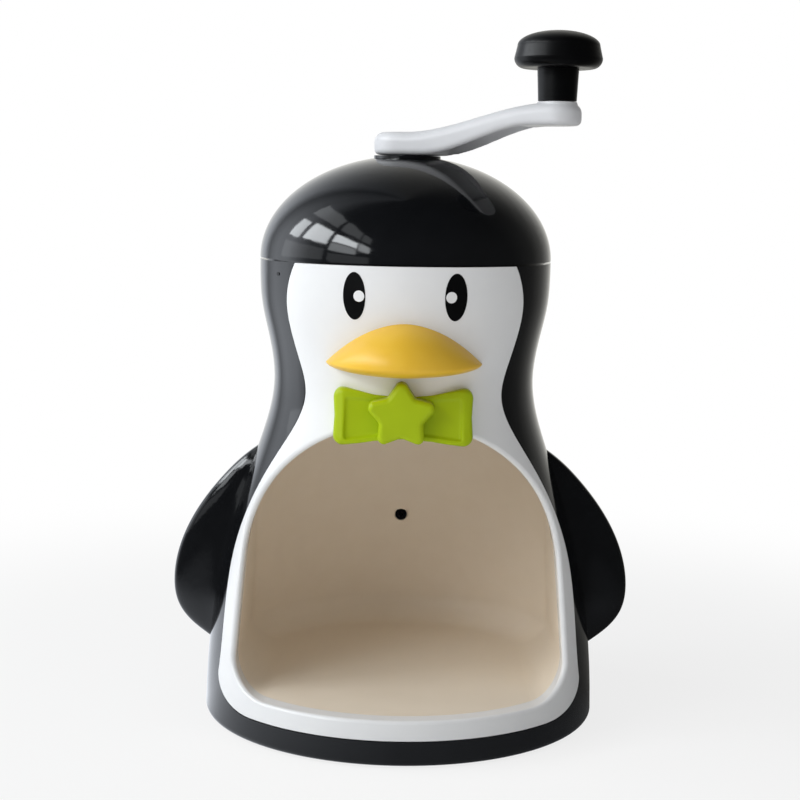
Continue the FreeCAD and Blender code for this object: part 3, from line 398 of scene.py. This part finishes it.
def linerScrew():
    # its head lies deep in the hole in the bay's back wall; its near-black steel is painted shade
    # of that hole
    low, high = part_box("liner_screw")
    screw = {"head": 2.7, "headHeight": 1.8, "shank": 1.5, "length": (high.y - low.y) / mm,
             "flat": False,
             "places": [((0, low.y / mm, (low.z + high.z) / 2 / mm), (0, 1, 0))]}
    screwSet("linerScrew", screw, "body", "stainless", shadeBlackSteel, "liner_screw")


def rubberFeet():
    # round pads with a soft edge and a shallow hollow underneath
    foot = {"radius": 7.0, "height": 2.0, "ring": 66.0, "hollow": 4.6, "depth": 0.5,
            "edge": 0.35, "corners": 64}
    pads = []
    for place in ringPlaces(foot["ring"], 4, 0, foot["height"] / 2):
        startPiece()
        bpy.ops.mesh.primitive_cylinder_add(vertices=foot["corners"], radius=foot["radius"] * mm,
                                            depth=foot["height"] * mm,
                                            location=[value * mm for value in place])
        pad = bpy.context.object
        bpy.ops.object.transform_apply(location=True)
        pickFaces(pad, lambda middle, normal: normal.z < -0.9)
        bpy.ops.mesh.inset(thickness=(foot["radius"] - foot["hollow"]) * mm)
        bpy.ops.mesh.extrude_region_move(
            TRANSFORM_OT_translate={"value": (0, 0, foot["depth"] * mm)})
        bpy.ops.object.mode_set(mode="OBJECT")
        bevelled(pad, foot["edge"] * mm, 3)
        pads.append(pad)
    finished(joinedPiece("rubberFeet", pads), "body", "rubber", footRubber, "rubber_feet")


def bowTie():
    # flat lobes that lean back a little, each with a low rim round a shallow dish
    bow = {"frontY": -59.5, "middleZ": 139.85, "lean": 10.0, "dish": 0.8, "dishLength": 24.4,
           "innerHalf": 6.8, "outerHalf": 9.2, "softness": 1.6, "voxel": 0.35, "smoothing": 8,
           "cut": (80.0, 20.0, 60.0)}   # what is taken off in front of the lobes
    lean = math.radians(bow["lean"])
    out = Vector((0, -math.cos(lean), math.sin(lean)))
    depth = bow["cut"][1]
    cutMiddle = Vector((0, bow["frontY"], bow["middleZ"])) + out * depth / 2
    piece = workCopy("bow_tie")
    cutWith(piece, newBlock(Vector(bow["cut"]) * mm, cutMiddle * mm, (-lean, 0, 0)))
    for side in (-1, 1):
        place = cutMiddle - out * bow["dish"] + Vector((side * bow["dishLength"] / 2, 0, 0))
        size = Vector((bow["dishLength"], depth, 2 * bow["innerHalf"]))
        block = newBlock(size * mm, place * mm, (-lean, 0, 0))
        pickFaces(block, lambda middle, normal: normal.x * side > 0.9)
        bpy.ops.transform.resize(value=(1, 1, bow["outerHalf"] / bow["innerHalf"]))
        bpy.ops.object.mode_set(mode="OBJECT")
        bevelled(block, bow["softness"] * mm, 4)
        cutWith(piece, block)
    softened(piece, bow["voxel"], bow["smoothing"])
    finished(joinedPiece("bowTie", [piece]), "body", "lime_abs", limeAbs, "bow_tie")


def bowStar():
    # a thick star whose sides reach down to the flat lobes
    star = {"reachBack": 6.0}
    piece = workCopy("bow_star")
    pickFaces(piece, lambda middle, normal: normal.y > 0.5)
    bpy.ops.transform.translate(value=(0, star["reachBack"] * mm, 0))
    bpy.ops.object.mode_set(mode="OBJECT")
    finished(joinedPiece("bowStar", [piece]), "body", "lime_abs", limeAbs, "bow_star")


def linerEdges():
    # strips of the liner's side walls, moved forward to the panel's lip to cover the shell's edge
    edge = {"low": 71.0, "high": 112.5, "front": -14.0, "back": -2.0, "forward": 14.5,
            "outward": 0.6, "middleX": 66.0, "width": 40.0}
    size = Vector((edge["width"], edge["back"] - edge["front"], edge["high"] - edge["low"])) * mm
    strips = []
    for side in (-1, 1):
        strip = workCopy("bay_liner")
        place = Vector((side * edge["middleX"], (edge["front"] + edge["back"]) / 2,
                        (edge["low"] + edge["high"]) / 2)) * mm
        cutWith(strip, newBlock(size, place), "INTERSECT")
        strip.location = (side * edge["outward"] * mm, -edge["forward"] * mm, 0)
        strips.append(strip)
    # the strips take the bay's warm tint, which is painted shade
    finished(joinedPiece("linerEdges", strips), "body", "liner_abs", bayWarmShadeAbs)


def crankArm():
    # open underneath between hub and tip, with a thin wall along each side: the core that comes
    # out is the arm itself, thinner by the wall all round and lowered to leave the roof
    arm = {"wall": 1.8, "roof": 4.6, "near": 14.5, "far": 55.5, "turn": -25.0, "height": 40.0,
           "width": 40.0, "voxel": 0.45, "smoothing": 5}
    piece = workCopy("crank_arm")
    core = workCopy("crank_arm")
    softened(core, arm["voxel"], 1)
    modified(core, "DISPLACE", strength=-arm["wall"] * mm, mid_level=0)
    softened(core, arm["voxel"], 1)
    core.location.z = (arm["wall"] - arm["roof"]) * mm
    startPiece()
    core.select_set(True)
    bpy.ops.object.transform_apply(location=True)
    low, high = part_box("crank_arm")
    turn = math.radians(arm["turn"])
    middle = (arm["near"] + arm["far"]) / 2 * mm
    size = Vector((arm["far"] - arm["near"], arm["width"], arm["height"])) * mm
    place = (middle * math.cos(turn), middle * math.sin(turn), (low.z + high.z) / 2)
    cutWith(core, newBlock(size, place, (0, 0, turn)), "INTERSECT")
    cutWith(piece, core)
    softened(piece, arm["voxel"], arm["smoothing"])
    finished(joinedPiece("crankArm", [piece]), "crank", "white_satin_abs", satinWhiteAbs,
             "crank_arm")


def presserSpring():
    # the presser's coil, which shortens as the presser goes up; here a copy of the part with a
    # mesh of its own
    piece = joinedPiece("presserSpring", [workCopy("presser_spring")])
    finished(piece, "crank", "spring_steel", springWire, "presser_spring")
    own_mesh(piece)


bottomScrews()
capScrews()
plateScrews()
linerScrew()
rubberFeet()
print("screws and feet modelled")
bowTie()
bowStar()
print("bow modelled")
linerEdges()
crankArm()
presserSpring()
print("liner edges, crank arm and spring modelled")


# floor, lamps and camera

studio = {
    "floorHalf": 6.0,                # m
    "floorWhite": "#F0F0EF",
    "shadowReach": (0.16, 0.55),     # m from the axis, where the floor turns into plain white
    "shadowShare": 0.2,              # how much of its own shading shows beside the object
    "white": 1.0,                    # what the eye sees behind the object
    "fill": (0.41, 0.14),            # soft light from the front and from the back
    "ceiling": (0.2, 1.1, 0.1),      # height where gloss gets darker, where it ends, what is left
    "horizon": (0.15, 0.5),          # m from the axis, where table turns into walls in gloss
    "skyTint": (0.93, 0.98, 1.06),   # tint of gloss on the window's side
    "roomTint": (1.02, 1.01, 0.95),  # and on the other side
    "roomSide": (-20, 100),          # degrees from straight behind, where the other side lies
    # brightness in gloss by the turn in degrees from straight behind, the window's side first
    "wallsInGloss": [(-180, 0.04), (-115, 0.06), (-97, 0.3), (-75, 1.6), (-58, 1.25), (-44, 0.45),
                     (-33, 1.15), (0, 0.95), (20, 0.8), (33, 0.5), (45, 0.26), (62, 0.1),
                     (90, 0.04), (180, 0.04)],
    "tableInGloss": [(-180, 0.25), (-158, 0.45), (-135, 0.75), (-109, 0.95), (-85, 1.3),
                     (-64, 1.2), (-42, 1.2), (-28, 1.15), (0, 1.0), (22, 0.75), (33, 0.25),
                     (45, 0.11), (80, 0.06), (130, 0.14), (180, 0.25)],
}
plainWhite = [studio["white"]] * 3 + [1]


def softLamp(name, place, aim, width, height, radiance, colour=(1, 1, 1)):
    # a flat lamp whose surface has the given radiance
    data = bpy.data.lights.new(name, "AREA")
    data.shape = "RECTANGLE"
    data.size = width
    data.size_y = height
    data.energy = radiance * math.pi * width * height
    data.color = colour
    lamp = bpy.data.objects.new(name, data)
    bpy.context.scene.collection.objects.link(lamp)
    lamp.location = place
    lamp.rotation_euler = (Vector(aim) - Vector(place)).to_track_quat("-Z", "Y").to_euler()
    return lamp


def roomInGloss(tree, direction, stops):
    # how gloss sees the room in a direction: a ramp over its turn round Z
    headroom = 2.0   # a ramp's colours end at 1, so they are held smaller by this
    split = addNode(tree, "ShaderNodeSeparateXYZ", Vector=direction)
    turn = addNode(tree, "ShaderNodeMath", {"operation": "ARCTAN2"}, i0=split.outputs[0],
                   i1=split.outputs[1])
    place = addNode(tree, "ShaderNodeMapRange", Value=turn.outputs[0], From_Min=-math.pi,
                    From_Max=math.pi)
    ramp = addNode(tree, "ShaderNodeValToRGB", Fac=place.outputs[0])
    steps = ramp.color_ramp.elements
    roomFrom, roomTo = studio["roomSide"]
    for number, (degrees, level) in enumerate(stops):
        step = steps[number] if number < 2 else steps.new(1.0)
        step.position = degrees / 360 + 0.5
        shade = studio["roomTint" if roomFrom <= degrees <= roomTo else "skyTint"]
        step.color = [part * level / headroom for part in shade] + [1]
    room = addNode(tree, "ShaderNodeVectorMath", {"operation": "SCALE"}, i0=ramp.outputs[0],
                   Scale=headroom)
    return split, room.outputs[0]


def makeFloor():
    # a pale table: the eye sees it fade to white, gloss sees it as the lower half of the room
    startPiece()
    bpy.ops.mesh.primitive_plane_add(size=2 * studio["floorHalf"], location=(0, 0, 0))
    floor = bpy.context.object
    floor.name = "floor"
    material = bpy.data.materials.new("paleFloor")
    tree = emptyTree(material)
    coords = addNode(tree, "ShaderNodeTexCoord").outputs["Object"]
    away = addNode(tree, "ShaderNodeVectorMath", {"operation": "LENGTH"}, i0=coords)
    plain = addNode(tree, "ShaderNodeMapRange", {"interpolation_type": "SMOOTHERSTEP"},
                    Value=away.outputs["Value"], From_Min=studio["shadowReach"][0],
                    From_Max=studio["shadowReach"][1], To_Min=1 - studio["shadowShare"],
                    To_Max=1.0)
    path = addNode(tree, "ShaderNodeLightPath")
    share = addNode(tree, "ShaderNodeMath", {"operation": "MULTIPLY"},
                    i0=path.outputs["Is Camera Ray"], i1=plain.outputs[0])
    shine = addNode(tree, "ShaderNodeMath", {"operation": "MAXIMUM"}, i0=share.outputs[0],
                    i1=path.outputs["Is Glossy Ray"])
    table = roomInGloss(tree, coords, studio["tableInGloss"])[1]
    walls = roomInGloss(tree, coords, studio["wallsInGloss"])[1]
    horizon = addNode(tree, "ShaderNodeMapRange", {"interpolation_type": "SMOOTHSTEP"},
                      Value=away.outputs["Value"], From_Min=studio["horizon"][0],
                      From_Max=studio["horizon"][1])
    inGloss = mixed(tree, horizon.outputs[0], table, walls)
    level = mixed(tree, path.outputs["Is Glossy Ray"], plainWhite, inGloss)
    paper = addNode(tree, "ShaderNodeBsdfDiffuse", Color=hexToLinear(studio["floorWhite"]))
    glow = addNode(tree, "ShaderNodeEmission", Color=level, Strength=1.0)
    mix = addNode(tree, "ShaderNodeMixShader", i0=shine.outputs[0], i1=paper.outputs[0],
                  i2=glow.outputs[0])
    addNode(tree, "ShaderNodeOutputMaterial", Surface=mix.outputs[0])
    floor.data.materials.append(material)


def makeWorld():
    # white behind the object; gloss sees the walls, darker towards the ceiling
    world = bpy.data.worlds.new("softRoom")
    bpy.context.scene.world = world
    tree = emptyTree(world)
    coords = addNode(tree, "ShaderNodeTexCoord").outputs["Generated"]
    split, walls = roomInGloss(tree, coords, studio["wallsInGloss"])
    height = addNode(tree, "ShaderNodeMapRange", {"interpolation_type": "SMOOTHSTEP"},
                     Value=split.outputs[2], From_Min=studio["ceiling"][0],
                     From_Max=studio["ceiling"][1], To_Min=1.0, To_Max=studio["ceiling"][2])
    room = addNode(tree, "ShaderNodeVectorMath", {"operation": "SCALE"}, i0=walls,
                   Scale=height.outputs[0])
    fill = addNode(tree, "ShaderNodeMapRange", Value=split.outputs[1], From_Min=-1.0,
                   From_Max=1.0, To_Min=studio["fill"][0], To_Max=studio["fill"][1])
    path = addNode(tree, "ShaderNodeLightPath")
    seen = addNode(tree, "ShaderNodeMath", {"operation": "MAXIMUM"},
                   i0=path.outputs["Is Camera Ray"], i1=path.outputs["Is Transmission Ray"])
    glossOrFill = mixed(tree, path.outputs["Is Glossy Ray"], fill.outputs[0], room.outputs[0])
    shown = mixed(tree, seen.outputs[0], glossOrFill, plainWhite)
    light = addNode(tree, "ShaderNodeBackground", Color=shown, Strength=1.0)
    addNode(tree, "ShaderNodeOutputWorld", Surface=light.outputs[0])


def makeLamps():
    # a long window on the left with trees behind it
    window = {
        "x": -1.05,     # m
        "share": 0.72,  # of the radiances of the panes
        "colour": (0.93, 0.97, 1.0),
        "panes": [      # y from, y to, z from, z to in m, and radiance
            (0.14, 0.4, 0.6, 0.98, 9.0), (-0.46, 0.04, 0.62, 1.02, 14.0),
            (-1.3, -0.56, 0.74, 1.0, 16.0), (-1.3, -0.56, 0.5, 0.7, 4.5),
            (-1.95, -1.36, 0.7, 1.0, 6.5), (-0.46, 0.4, 1.18, 1.6, 1.6),
            (-1.3, -0.56, 1.18, 1.6, 1.4), (-1.95, -1.36, 1.18, 1.6, 1.2),
            (-0.46, 0.4, 0.22, 0.5, 0.8), (-1.95, -0.56, 0.22, 0.42, 0.7)],
    }
    for number, (yFrom, yTo, zFrom, zTo, radiance) in enumerate(window["panes"]):
        middle = Vector((window["x"], (yFrom + yTo) / 2, (zFrom + zTo) / 2))
        softLamp(f"window{number}", middle, middle + Vector((1, 0, 0)), yTo - yFrom, zTo - zFrom,
                 radiance * window["share"], window["colour"])
    # light that the table throws back up; it shows in no reflection
    glow = {"y": -0.42, "z": 0.002, "width": 1.0, "depth": 0.5, "radiance": 0.5}
    table = softLamp("tableGlow", (0, glow["y"], glow["z"]), (0, glow["y"], 1), glow["width"],
                     glow["depth"], glow["radiance"])
    table.visible_camera = False
    table.visible_glossy = False


def makeCamera():
    # nearly level, from a little above the middle; place in mm, angles in degrees
    view = {"place": (-1.42, -731, 234.1), "pitch": 7.39, "roll": 0.97, "lens": 74.52,
            "sensor": 36, "nearest": 10}
    data = bpy.data.cameras.new("camera")
    data.lens = view["lens"]
    data.sensor_width = view["sensor"]
    data.clip_start = view["nearest"] * mm
    camera = bpy.data.objects.new("camera", data)
    bpy.context.scene.collection.objects.link(camera)
    tilt = Matrix.Rotation(math.radians(90 - view["pitch"]), 4, "X")
    roll = Matrix.Rotation(math.radians(view["roll"]), 4, "Z")
    camera.matrix_world = Matrix.Translation(Vector(view["place"]) * mm) @ tilt @ roll
    bpy.context.scene.camera = camera


makeFloor()
makeWorld()
makeLamps()
makeCamera()
bpy.context.scene.view_settings.view_transform = "Standard"
print("studio ready")
